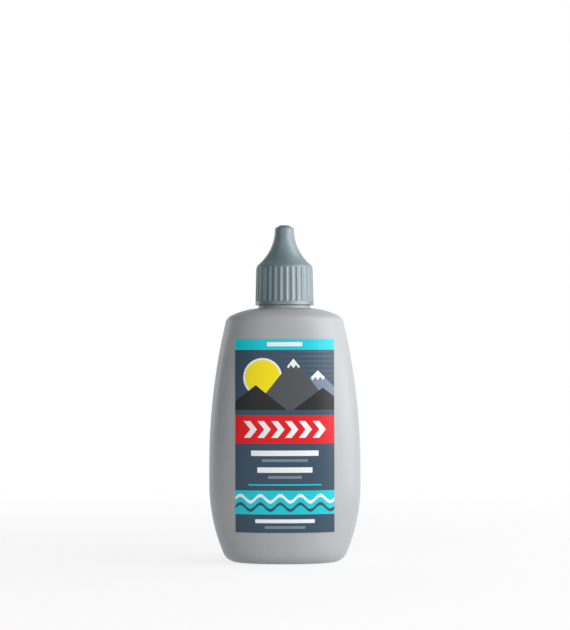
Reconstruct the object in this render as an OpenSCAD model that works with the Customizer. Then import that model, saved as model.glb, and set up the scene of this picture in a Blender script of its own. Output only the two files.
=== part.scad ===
// Oval squeeze bottle for chain oil, with a dropper nozzle and a conical screw cap.
// Millimetres. +Z is up, -Y is the front, and the origin is the middle of the foot.

/* [Bottle body] */
// Width of the body at its widest
bottle_width = 56.9; // [52:0.1:62]
// Depth of the body from front to back
bottle_depth = 34; // [30:0.5:38]
// Height of the shoulder where it meets the neck
shoulder_height = 95.45; // [92:0.05:100]
// Height at which the sides start to draw in towards the foot
waist_low = 29; // [26:0.5:32]
// Height at which the sides start to draw in towards the shoulder
waist_high = 36; // [34:0.5:40]
// Radius of the side outline below the waist
lower_side_radius = 66.5; // [62:0.5:84]
// Radius of the side outline above the waist
upper_side_radius = 236; // [220:1:300]
// Radius of the corner between the side and the foot
base_corner_radius = 5.2; // [4:0.1:6]
// Radius of the domed shoulder
shoulder_radius = 27.8; // [26:0.1:32]
// Radius of the corner between the side and the shoulder
shoulder_corner_radius = 4; // [3:0.25:6]
// Roundness of the body's section: 2 is an ellipse, more is squarer
section_power = 2.3; // [2:0.05:2.8]
// Thickness of the blown wall
wall = 1.2; // [0.8:0.1:1.6]
// Width of the flat rim that the bottle stands on
foot_width = 2; // [1.5:0.25:3]
// Rise of the recess inside the foot
push_up = 1.4; // [0.8:0.1:2]

/* [Neck] */
// Diameter of the neck inside the cap
neck_diameter = 16.6; // [15.6:0.1:17.6]
// Thickness of the neck's wall
neck_wall = 1.5; // [1.2:0.1:1.8]
// How far the collar under the cap stands out from the neck
collar_step = 1.5; // [1:0.05:1.8]
// Height of the collar above the shoulder
collar_height = 1; // [0.5:0.05:1.5]
// Height of the neck above the collar
neck_height = 12.7; // [11.5:0.1:13]

/* [Nozzle] */
// Depth of the nozzle's plug in the neck
plug_depth = 8; // [6:0.5:10]
// Thickness of the plug's wall
plug_wall = 1; // [0.8:0.1:1.4]
// Play between the plug and the neck's bore, on the radius
plug_play = 0.05; // [0.03:0.01:0.1]
// How far the flange stays inside the neck's outside
flange_inset = 0.4; // [0.2:0.05:0.6]
// Thickness of the flange
flange_thickness = 1; // [0.8:0.1:1.4]
// Height of the spout above the flange
spout_height = 11.1; // [9.5:0.1:11.5]
// Diameter of the spout at its foot
spout_foot_diameter = 8.8; // [8:0.1:9.4]
// Diameter of the spout at its tip
spout_tip_diameter = 3.2; // [3:0.1:3.6]
// Diameter of the hole in the tip
orifice_diameter = 1.1; // [1:0.1:1.3]

/* [Cap] */
// Space for the thread between the neck and the cap's bore
thread_space = 0.92; // [0.8:0.02:1.2]
// Thickness of the cap's wall behind the grooves
cap_wall = 1.45; // [1.2:0.05:1.6]
// Height of the cap
cap_height = 30.1; // [29.5:0.1:32]
// Height of the ribbed skirt
skirt_height = 13.3; // [13.2:0.1:14.2]
// Narrowing of the skirt from its lower edge to its top, on the radius
skirt_draft = 0.32; // [0.1:0.01:0.4]
// Radius of the corner between the skirt and the cone
skirt_corner_radius = 2.75; // [2:0.05:3]
// Radius of the cone's hollow flank
cone_radius = 17.3; // [16.5:0.1:18.5]
// Diameter of the cone at its tip
tip_diameter = 7.2; // [6.8:0.1:7.6]
// Diameter of the flat top of the tip
tip_flat_diameter = 3.2; // [2.6:0.1:4.5]
// Height of the slope round the tip's flat top
tip_slope_height = 1.2; // [0.8:0.1:1.6]
// Number of ribs round the skirt
rib_count = 30; // [24:2:36]
// Depth of the grooves between the ribs
groove_depth = 0.32; // [0.2:0.02:0.5]
// Width of a groove where it opens
groove_width = 1.75; // [1.2:0.05:1.9]
// How far the grooves run up into the corner above the skirt
groove_run = 1.35; // [0.6:0.05:1.5]
// Turn of the closed cap, from +X to its first groove, in degrees
cap_turn = 3.6; // [0:0.1:12]
// Height of the plain band under the ribs
band_height = 1.35; // [1:0.05:2]
// Gap between the collar and the cap's lower edge
cap_gap = 0.1; // [0.1:0.05:0.5]
// Gap between the cap's sealing ring and the flange
seal_gap = 0.15; // [0.1:0.05:0.3]
// Width of the sealing ring
ring_width = 0.7; // [0.5:0.1:0.9]
// How far the sealing ring stays inside the flange's edge
ring_inset = 0.2; // [0.1:0.05:0.4]
// Height of the sealing ring below the roof beside it
ring_height = 1; // [0.6:0.1:1.2]
// Diameter of the pin that stops the nozzle's hole
pin_diameter = 0.9; // [0.8:0.05:0.95]

/* [Label] */
// Width of the front label
label_width = 36.7; // [32:0.1:38]
// Height of the front label
label_height = 71.6; // [66:0.2:72]
// Height of the label's lower edge above the foot
label_bottom = 12.1; // [11:0.1:14]
// Thickness of the label
label_thickness = 0.12; // [0.1:0.01:0.3]
// Thickness of the glue between the label and the bottle
glue = 0.05; // [0.04:0.01:0.1]

/* [Hidden] */
$fn = 96;

// Facets of the blown body
columns = 56;
side_steps = 9;
corner_steps = 6;
dome_steps = 5;
// Facets of the label
label_columns = 24;
label_rows = 16;
// Overlap of solids that are joined or cut
lap = 1;
// How far the flat at the top of the dome ends inside the neck
dome_inset = 0.4;
// Power by which the section's depth falls as the shoulder draws in
dome_fall = 1.25;
// How far the foot of the neck starts above the inside of the shoulder
neck_root = 0.3;
// Rings of the recess in the foot, as shares of its size and of its rise
recess_shares = [[0.45, 1], [0.75, 0.8], [1, 0]];
// Height of the nozzle's tight bands, and how far the plug is thinned between them
land = 1.2;
relief = 0.15;
// Chamfer of the cap's inner edges
chamfer = 0.25;

half_width = bottle_width / 2;
half_depth = bottle_depth / 2;
neck_radius = neck_diameter / 2;
bore_radius = neck_radius - neck_wall;
flange_radius = neck_radius - flange_inset;
shoulder_flat = neck_radius - dome_inset;
collar_top = shoulder_height + collar_height;
rim_z = collar_top + neck_height;
flange_top = rim_z + flange_thickness;
spout_top = flange_top + spout_height;
cap_bottom = collar_top + cap_gap;

// Points of an arc from one angle to another, less the first few where another arc has them
function arc(centre, r, from, to, steps, skip = 0) = [
    for (i = [skip:steps]) let (t = from + (to - from) * i / steps)
        [centre[0] + r * cos(t), centre[1] + r * sin(t)]
];

// The upper crossing of two circles, of which the second lies to the left
function crossing(c1, r1, c2, r2) =
    let (
        d = norm(c2 - c1),
        along = (r1 * r1 - r2 * r2 + d * d) / (2 * d),
        across = sqrt(r1 * r1 - along * along),
        u = (c2 - c1) / d
    )
    c1 + along * u + across * [u[1], -u[0]];

// Direction of a point as seen from a centre, in degrees
function bearing(from, to) = atan2(to[1] - from[1], to[0] - from[0]);

// Centres of the arcs that make the outline of the bottle as seen from the front
lower_centre = [half_width - lower_side_radius, waist_low];
upper_centre = [half_width - upper_side_radius, waist_high];
dome_centre = [shoulder_flat, shoulder_height - shoulder_radius];
base_corner = [
    lower_centre[0] + sqrt(pow(lower_side_radius - base_corner_radius, 2)
        - pow(waist_low - base_corner_radius, 2)),
    base_corner_radius
];
shoulder_corner = crossing(
    dome_centre, shoulder_radius - shoulder_corner_radius,
    upper_centre, upper_side_radius - shoulder_corner_radius
);
base_corner_end = bearing(lower_centre, base_corner);
side_end = bearing(upper_centre, shoulder_corner);
dome_start = bearing(dome_centre, shoulder_corner);

// Right half of the outline, from the foot to the neck, drawn in by the given inset
function outline(inset) = concat(
    arc(base_corner, base_corner_radius - inset, -90, base_corner_end, corner_steps),
    arc(lower_centre, lower_side_radius - inset, base_corner_end, 0, side_steps, 1),
    arc(upper_centre, upper_side_radius - inset, 0, side_end, side_steps),
    arc(shoulder_corner, shoulder_corner_radius - inset, side_end, dome_start, corner_steps, 1),
    arc(dome_centre, shoulder_radius - inset, dome_start, 90, dome_steps, 1)
);

// How far the shoulder has drawn in at a half-width: 0 at the side, 1 at the neck
shoulder_start = upper_centre[0] + upper_side_radius * cos(side_end);
function drawn_in(a) = min(1, max(0, (shoulder_start - a) / (shoulder_start - shoulder_flat)));

// Half-depth of the section at a point of the outline
function section_depth(a, z, inset) =
    z < base_corner_radius ?
        half_depth - base_corner_radius
            + sqrt(max(0, pow(base_corner_radius - inset, 2) - pow(base_corner_radius - z, 2)))
    : z < shoulder_corner[1] - shoulder_corner_radius ? half_depth - inset
    : let (s = drawn_in(a + inset)) half_depth - inset - (half_depth - shoulder_flat) * pow(s, dome_fall);

// One ring of the body: a superellipse that becomes a circle at the neck
function ring(a, b, power, z) = [
    for (i = [0:columns - 1]) let (t = 360 * i / columns, c = cos(t), s = sin(t)) [
        a * sign(c) * pow(abs(c), 2 / power),
        b * sign(s) * pow(abs(s), 2 / power),
        z
    ]
];

// Power of the section, which falls to 2 as the shoulder draws in to the round neck
function power_at(a) = section_power + (2 - section_power) * drawn_in(a);

// Rings of the recess inside the foot, from the middle outwards
function recess_rings(foot_a, foot_b, inset) = [
    for (step = recess_shares)
        ring((foot_a - foot_width) * step[0], (foot_b - foot_width) * step[0], section_power,
            push_up * step[1] + inset)
];

// All rings of the body's skin, drawn in by the given inset
function body_rings(inset) =
    let (points = outline(inset), foot = points[0])
    concat(
        recess_rings(foot[0], half_depth - base_corner_radius, inset),
        [for (p = points) let (z = p[1])
            ring(p[0], section_depth(p[0], z, inset), power_at(p[0] + inset), z)]
    );

// Closed skin through a stack of rings
module skin(rings) {
    count = len(rings);
    last = count - 1;
    points = [for (r = rings) each r];
    sides = [
        for (k = [0:last - 1], i = [0:columns - 1])
            let (j = (i + 1) % columns, low = k * columns, high = low + columns)
            each [[low + i, high + i, high + j], [low + i, high + j, low + j]]
    ];
    foot = [for (i = [0:columns - 1]) i];
    top = [for (i = [columns - 1:-1:0]) last * columns + i];
    polyhedron(points, concat([foot], sides, [top]), convexity = 6);
}

// Half-width of the body at a height between the foot's corner and the shoulder's
function half_width_at(z) =
    z < waist_low ? lower_centre[0] + sqrt(pow(lower_side_radius, 2) - pow(z - waist_low, 2))
    : z > waist_high ? upper_centre[0] + sqrt(pow(upper_side_radius, 2) - pow(z - waist_high, 2))
    : half_width;

// Place of the bottle's front face at a point of the label
function front_face(x, z) =
    -half_depth * pow(1 - pow(abs(x) / half_width_at(z), section_power), 1 / section_power);

// Blown bottle with its neck, open at the rim
module bottle() {
    wall_top = shoulder_height - wall;
    root = wall_top + neck_root;
    color("silver")
    difference() {
        union() {
            difference() {
                skin(body_rings(0));
                skin(body_rings(wall));
            }
            translate([0, 0, root])
                cylinder(h = collar_top - root, r = neck_radius + collar_step);
            translate([0, 0, root])
                cylinder(h = rim_z - root, r = neck_radius);
        }
        translate([0, 0, wall_top - lap])
            cylinder(h = rim_z - wall_top + 2 * lap, r = bore_radius);
    }
}

// Nozzle: a hollow plug pressed into the neck, a flange on the rim and a tapered spout
module nozzle_insert() {
    plug_radius = bore_radius - plug_play;
    plug_bottom = rim_z - plug_depth;
    orifice_radius = orifice_diameter / 2;
    spout_wall = (spout_tip_diameter - orifice_diameter) / 2;
    outside = [
        [plug_radius - relief, plug_bottom],
        [plug_radius, plug_bottom + relief * 2],
        [plug_radius, plug_bottom + land],
        [plug_radius - relief, plug_bottom + land + relief],
        [plug_radius - relief, rim_z - land - relief],
        [plug_radius, rim_z - land],
        [plug_radius, rim_z],
        [flange_radius, rim_z],
        [flange_radius, flange_top - relief],
        [flange_radius - relief, flange_top],
        [spout_foot_diameter / 2 + relief, flange_top],
        [spout_foot_diameter / 2, flange_top + relief],
        [spout_tip_diameter / 2, spout_top - relief],
        [spout_tip_diameter / 2 - relief, spout_top]
    ];
    inside = [
        [orifice_radius, spout_top],
        [orifice_radius, spout_top - land],
        [spout_foot_diameter / 2 - spout_wall, flange_top],
        [spout_foot_diameter / 2 - spout_wall, rim_z],
        [plug_radius - relief - plug_wall, rim_z - land],
        [plug_radius - relief - plug_wall, plug_bottom]
    ];
    color("white")
    rotate_extrude()
        polygon(concat(outside, inside));
}

// Outside of the cap from its lower edge to the middle of its tip
skirt_bore = neck_radius + thread_space;
cap_radius = skirt_bore + cap_wall + groove_depth;
cap_top = cap_bottom + cap_height;
skirt_top = cap_bottom + skirt_height;
tip_radius = tip_diameter / 2;
draft_angle = atan(skirt_draft / skirt_height);
skirt_top_radius = cap_radius - skirt_draft;
skirt_corner = [skirt_top_radius - skirt_corner_radius, skirt_top];
// The hollow flank is an arc that meets the skirt's corner and stands upright at the tip
cone_centre_x = tip_radius + cone_radius;
cone_centre = [
    cone_centre_x,
    skirt_corner[1] + sqrt(pow(cone_radius + skirt_corner_radius, 2) - pow(cone_centre_x - skirt_corner[0], 2))
];
cone_start = bearing(skirt_corner, cone_centre);
tip_slope_bottom = cap_top - tip_slope_height;
cone_end = 180 + asin(max(0, cone_centre[1] - tip_slope_bottom) / cone_radius);
cone_steps = 14;

function cap_outside() = concat(
    [[cap_radius, cap_bottom]],
    arc(skirt_corner, skirt_corner_radius, 0, cone_start, corner_steps),
    arc(cone_centre, cone_radius, 180 + cone_start, cone_end, cone_steps, 1),
    [[tip_radius, tip_slope_bottom], [tip_flat_diameter / 2, cap_top]]
);

// Inside of the cap from the middle of the pin out to the lower edge, with the sealing ring on its way
function cap_inside() =
    let (
        pin_radius = pin_diameter / 2,
        pin_bottom = spout_top - cap_wall,
        pin_nose = pin_radius / 2,
        ceiling = cap_top - 2 * cap_wall,
        ring_outer = flange_radius - ring_inset,
        ring_inner = ring_outer - ring_width,
        ring_bottom = flange_top + seal_gap,
        roof = ring_bottom + ring_height,
        inner_radius = cone_radius + cap_wall,
        ring_turn = acos((cone_centre[0] - ring_inner) / inner_radius),
        ceiling_turn = asin((cone_centre[1] - ceiling + chamfer) / inner_radius),
        flank = arc(cone_centre, inner_radius, 180 + ceiling_turn, 180 + ring_turn, cone_steps)
    )
    concat(
        [[0, pin_bottom], [pin_radius - pin_nose, pin_bottom], [pin_radius, pin_bottom + pin_nose]],
        [[pin_radius, ceiling], [flank[0][0] - chamfer, ceiling]],
        flank,
        [[ring_inner, ring_bottom], [ring_outer, ring_bottom], [ring_outer, roof]],
        [[skirt_bore - chamfer, roof], [skirt_bore, roof - chamfer]],
        [[skirt_bore, cap_bottom + chamfer], [skirt_bore + chamfer, cap_bottom]]
    );

// Cutter of one groove: a round bar that lies along the skirt and dips into it
module groove_cutter() {
    bar_radius = (pow(groove_width / 2, 2) + pow(groove_depth, 2)) / (2 * groove_depth);
    translate([cap_radius - groove_depth, 0, cap_bottom])
        rotate([0, -draft_angle, 0])
            translate([bar_radius, 0, band_height])
                cylinder(h = skirt_height - band_height + groove_run, r = bar_radius);
}

// Screw cap: ribbed skirt, hollow cone, sealing ring and pin
module screw_cap() {
    color("slategray")
    difference() {
        rotate_extrude()
            polygon(concat(cap_outside(), [[0, cap_top]], cap_inside()));
        for (i = [0:rib_count - 1])
            rotate([0, 0, cap_turn + 360 * i / rib_count])
                groove_cutter();
    }
}

// Film label glued to the front of the bottle
module front_label() {
    function place(i, k, off) =
        let (
            x = label_width * (i / label_columns - 0.5),
            z = label_bottom + label_height * k / label_rows
        )
        [x, front_face(x, z) - off, z];
    across = label_columns + 1;
    layer = across * (label_rows + 1);
    points = [
        for (off = [glue, glue + label_thickness], k = [0:label_rows], i = [0:label_columns])
            place(i, k, off)
    ];
    function quad(a, b, c, d) = [[a, b, c], [a, c, d]];
    back = [
        for (k = [0:label_rows - 1], i = [0:label_columns - 1])
            let (p = k * across + i)
            each quad(p, p + 1, p + across + 1, p + across)
    ];
    front = [for (f = back) [f[2] + layer, f[1] + layer, f[0] + layer]];
    rim = concat(
        [for (i = [0:label_columns - 1]) i],
        [for (k = [0:label_rows - 1]) k * across + label_columns],
        [for (i = [label_columns:-1:1]) label_rows * across + i],
        [for (k = [label_rows:-1:1]) k * across]
    );
    edge = [
        for (n = [0:len(rim) - 1])
            let (a = rim[n], b = rim[(n + 1) % len(rim)])
            each quad(a, a + layer, b + layer, b)
    ];
    color("dimgray")
        polyhedron(points, concat(back, front, edge), convexity = 4);
}

bottle();
nozzle_insert();
screw_cap();
front_label();
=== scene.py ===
"""Looks of an oval chain lube bottle with a dropper nozzle, a ribbed screw cap and a printed front label.

Sizes are in millimetres until a mesh is written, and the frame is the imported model's: +Z up, -Y the front.
"""

import logging
import math
from dataclasses import dataclass, field
from enum import Enum

import bpy
import numpy as np
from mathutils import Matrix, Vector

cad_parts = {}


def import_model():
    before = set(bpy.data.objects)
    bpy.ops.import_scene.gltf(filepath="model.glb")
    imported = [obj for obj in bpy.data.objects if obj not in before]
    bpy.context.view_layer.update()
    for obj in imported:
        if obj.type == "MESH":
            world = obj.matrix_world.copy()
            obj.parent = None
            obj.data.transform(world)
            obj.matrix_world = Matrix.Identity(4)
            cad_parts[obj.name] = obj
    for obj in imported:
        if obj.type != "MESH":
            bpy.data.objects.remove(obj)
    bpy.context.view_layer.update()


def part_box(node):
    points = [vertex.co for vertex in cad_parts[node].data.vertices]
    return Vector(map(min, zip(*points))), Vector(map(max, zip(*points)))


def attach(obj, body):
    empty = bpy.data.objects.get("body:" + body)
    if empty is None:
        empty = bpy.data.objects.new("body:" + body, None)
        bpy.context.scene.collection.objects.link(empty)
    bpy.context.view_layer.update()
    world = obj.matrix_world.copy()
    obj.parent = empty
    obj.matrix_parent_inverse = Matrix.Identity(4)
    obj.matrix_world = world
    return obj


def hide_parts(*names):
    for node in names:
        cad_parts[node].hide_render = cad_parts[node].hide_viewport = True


LOG = logging.getLogger("chain_lube_bottle")
MM = 0.001


class Body(Enum):
    """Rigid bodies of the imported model."""

    BOTTLE = "bottle_body"
    CAP = "cap_body"


class Slot(Enum):
    """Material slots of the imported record."""

    BOTTLE = "silver_polyethylene"
    NOZZLE = "natural_polyethylene"
    CAP = "grey_polypropylene"
    LABEL = "printed_film"


class Ink(Enum):
    """Printing inks of the label, as screen colours."""

    SLATE = (51, 73, 92)
    SLATE_PALE = (118, 134, 150)
    RED = (222, 0, 20)
    TEAL = (0, 198, 212)
    WHITE = (238, 240, 241)
    YELLOW = (248, 226, 6)
    BLACK = (24, 25, 27)
    GRAPHITE = (74, 78, 82)

    def linear(self) -> tuple[float, float, float, float]:
        """Returns the ink's colour in linear light, with an alpha of 1."""
        return (*screen_to_linear(self.value), 1.0)


def screen_to_linear(colour: tuple[int, int, int]) -> tuple[float, float, float]:
    """Turns a screen colour into linear light by the standard screen curve.

    Args:
        colour: Red, green and blue from 0 to 255.

    Returns:
        Red, green and blue from 0 to 1.
    """
    share = np.asarray(colour, dtype=float) / 255.0
    bright = ((share + 0.055) / 1.055) ** 2.4
    return tuple(float(c) for c in np.where(share <= 0.04045, share / 12.92, bright))


def arc(centre: tuple[float, float], radius: float, start: float, end: float, steps: int) -> np.ndarray:
    """Points of an arc: the centre plus the radius times the cosine and sine of evenly spaced angles.

    Args:
        centre: Middle of the arc.
        radius: Radius of the arc.
        start: First angle in degrees.
        end: Last angle in degrees.
        steps: Number of chords.

    Returns:
        An array of steps + 1 points.
    """
    angle = np.radians(np.linspace(start, end, steps + 1))
    return np.column_stack((centre[0] + radius * np.cos(angle), centre[1] + radius * np.sin(angle)))


def bearing(start: tuple[float, float], end: tuple[float, float]) -> float:
    """Returns the direction from one point to another, in degrees."""
    return math.degrees(math.atan2(end[1] - start[1], end[0] - start[0]))


def smooth_step(value: np.ndarray) -> np.ndarray:
    """Eases from 0 to 1: three times the square less twice the cube of the value held between 0 and 1."""
    held = np.clip(value, 0.0, 1.0)
    return held * held * (3.0 - 2.0 * held)


def soft_min(first: np.ndarray, second: np.ndarray, blend: float) -> np.ndarray:
    """The lesser of two values with a rounded crossing: half their sum less half the root of their
    squared difference plus the squared blend."""
    return 0.5 * (first + second - np.sqrt((first - second) ** 2 + blend**2))


def rounded(corners: list[tuple[float, float, float]], steps: int = 4) -> np.ndarray:
    """A profile through corners that are rounded by arcs.

    At each corner the curve leaves the incoming edge one tangent length before it and joins the outgoing edge
    one tangent length after it; between them it is the arc that touches both. A point close to each end of
    an arc keeps the shading of the flat that follows it even.

    Args:
        corners: Radius from the axis, height and rounding radius of each corner. The ends aren't rounded.
        steps: Chords of each arc.

    Returns:
        The points of the profile, from the first corner to the last.
    """
    points = [np.array(corners[0][:2])]
    for before, here, after in zip(corners, corners[1:], corners[2:]):
        tip = np.array(here[:2])
        back = np.array(before[:2]) - tip
        ahead = np.array(after[:2]) - tip
        back_length, ahead_length = np.linalg.norm(back), np.linalg.norm(ahead)
        back, ahead = back / back_length, ahead / ahead_length
        half_angle = 0.5 * math.acos(float(np.clip(back @ ahead, -1.0, 1.0)))
        reach = min(here[2] / math.tan(half_angle), 0.45 * back_length, 0.45 * ahead_length)
        hold = min(1.6 * reach, 0.49 * back_length), min(1.6 * reach, 0.49 * ahead_length)
        start, end = tip + back * reach, tip + ahead * reach
        share = np.linspace(0.0, 1.0, steps + 1)[:, None]
        # A quadratic curve with the corner as its handle is nearly the touching arc
        curve = (1 - share) ** 2 * start + 2 * share * (1 - share) * tip + share**2 * end
        points.append(tip + back * hold[0])
        points.extend(curve)
        points.append(tip + ahead * hold[1])
    points.append(np.array(corners[-1][:2]))
    return np.array(points)


@dataclass
class GridMesh:
    """A mesh woven from a grid of points whose columns run counter-clockwise and close on themselves."""

    name: str
    grid: np.ndarray
    second: np.ndarray | None = None
    close_rows: bool = False
    first_pole: np.ndarray | None = None
    last_pole: np.ndarray | None = None
    zip_ends: bool = False
    uv: np.ndarray | None = None

    def faces(self) -> list[tuple[int, ...]]:
        """Returns the faces: quads between neighbouring rows, fans at the poles or a zip across each end."""
        index = np.arange(self.grid.shape[0] * self.grid.shape[1]).reshape(self.grid.shape[:2])
        faces = self.quads(index, self.close_rows)
        end = index
        if self.second is not None:
            end = index.size + np.arange(self.second[..., 0].size).reshape(self.second.shape[:2])
            faces += self.quads(end, False) + self.join(index[-1], end[0])
        pole = int(end[-1, -1]) + 1
        if self.first_pole is not None:
            faces += self.fan(pole, index[0][::-1])
            pole += 1
        if self.last_pole is not None:
            faces += self.fan(pole, end[-1])
        if self.zip_ends:
            faces += self.end_strip(index[0], True) + self.end_strip(index[-1], False)
        return faces

    @staticmethod
    def quads(index: np.ndarray, close_rows: bool) -> list[tuple[int, ...]]:
        """Quads between each row of vertex numbers and the next, closed round the columns."""
        low = index if close_rows else index[:-1]
        high = np.roll(index, -1, axis=0) if close_rows else index[1:]
        quads = np.stack((low, np.roll(low, -1, 1), np.roll(high, -1, 1), high), axis=-1).reshape(-1, 4)
        return [tuple(f) for f in quads.tolist()]

    @staticmethod
    def fan(pole: int, ring: np.ndarray) -> list[tuple[int, ...]]:
        """Triangles from a pole to each edge of a ring."""
        return [(pole, a, b) for a, b in zip(ring.tolist(), np.roll(ring, -1).tolist())]

    @staticmethod
    def join(coarse: np.ndarray, fine: np.ndarray) -> list[tuple[int, ...]]:
        """Triangles between a ring and one of twice as many vertices, whose even vertices lie beside it.

        Args:
            coarse: Vertex numbers of the first ring.
            fine: Vertex numbers of the finer ring.

        Returns:
            Three triangles for each vertex of the first ring.
        """
        after = np.roll(coarse, -1)
        even, odd = fine[::2], fine[1::2]
        next_even = np.roll(even, -1)
        sides = ((coarse, odd, even), (coarse, after, odd), (after, next_even, odd))
        return [tuple(f) for side in sides for f in np.stack(side, axis=-1).tolist()]

    @staticmethod
    def end_strip(ring: np.ndarray, first: bool) -> list[tuple[int, ...]]:
        """Quads that close a flat end by joining the first half of its ring to the second half.

        Args:
            ring: Vertex numbers round the end.
            first: Whether this is the first row, whose faces look the other way.

        Returns:
            The quads.
        """
        half = len(ring) // 2
        front, back = ring[:half], ring[half:][::-1]
        quads = np.stack((front[:-1], front[1:], back[1:], back[:-1]), axis=-1)
        if first:
            quads = quads[:, ::-1]
        return [tuple(f) for f in quads.tolist()]

    def build(self, sharp_angle: float | None = None) -> bpy.types.Object:
        """Writes the mesh in metres and links its object at the origin.

        Args:
            sharp_angle: Angle in degrees past which an edge stays crisp, or None for smooth all over.

        Returns:
            The new object.
        """
        points = self.grid.reshape(-1, 3)
        if self.second is not None:
            points = np.vstack((points, self.second.reshape(-1, 3)))
        poles = [p for p in (self.first_pole, self.last_pole) if p is not None]
        if poles:
            points = np.vstack((points, np.array(poles)))
        mesh = bpy.data.meshes.new(self.name)
        mesh.from_pydata((points * MM).tolist(), [], self.faces())
        mesh.polygons.foreach_set("use_smooth", np.ones(len(mesh.polygons), dtype=bool))
        if self.uv is not None:
            layer = mesh.uv_layers.new(name="print")
            corners = np.empty(len(mesh.loops), dtype=np.int32)
            mesh.loops.foreach_get("vertex_index", corners)
            layer.data.foreach_set("uv", self.uv.reshape(-1, 2)[corners].ravel())
        if sharp_angle is not None:
            mesh.set_sharp_from_angle(angle=math.radians(sharp_angle))
        mesh.validate()
        mesh.update()
        piece = bpy.data.objects.new(self.name, mesh)
        bpy.context.scene.collection.objects.link(piece)
        return piece


def turned(profile: np.ndarray, angle: np.ndarray) -> np.ndarray:
    """Turns a profile round the axis: x is radius times cosine, y is radius times sine, z is height.

    Args:
        profile: Radius and height of each row.
        angle: Angles of the columns.

    Returns:
        A grid of points, rows by columns.
    """
    radius = profile[:, :1]
    height = np.broadcast_to(profile[:, 1:], (len(profile), len(angle)))
    return np.stack((radius * np.cos(angle), radius * np.sin(angle), height), axis=-1)


@dataclass(frozen=True)
class Thread:
    """A screw thread as a ridge that climbs round a cylinder."""

    start: float
    pitch: float = 3.18
    turns: float = 1.5
    height: float = 0.62
    base: float = 1.35
    crest: float = 0.5
    fade: float = 0.06

    def ridge(self, angle: np.ndarray, height: np.ndarray) -> np.ndarray:
        """How far the ridge stands out at each point.

        The ridge's line climbs one pitch a turn. The nearest line below or above a point gives its distance
        along the axis, and the ridge falls straight from its crest to its base with that distance. It fades
        in and out over a short share of a turn at its ends.

        Args:
            angle: Angle round the axis in radians, from 0 to a full turn.
            height: Height along the axis.

        Returns:
            The ridge's height over the cylinder.
        """
        turn = angle / (2 * math.pi)
        whole = np.round((height - self.start) / self.pitch - turn)
        whole = np.clip(whole, 0, math.ceil(self.turns) - 1)
        along = turn + whole
        distance = np.abs(height - self.start - self.pitch * along)
        flank = 0.5 * (self.base - self.crest)
        form = smooth_step((0.5 * self.base - distance) / flank)
        ends = smooth_step(along / self.fade) * smooth_step((self.turns - along) / self.fade)
        return self.height * form * ends


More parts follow.
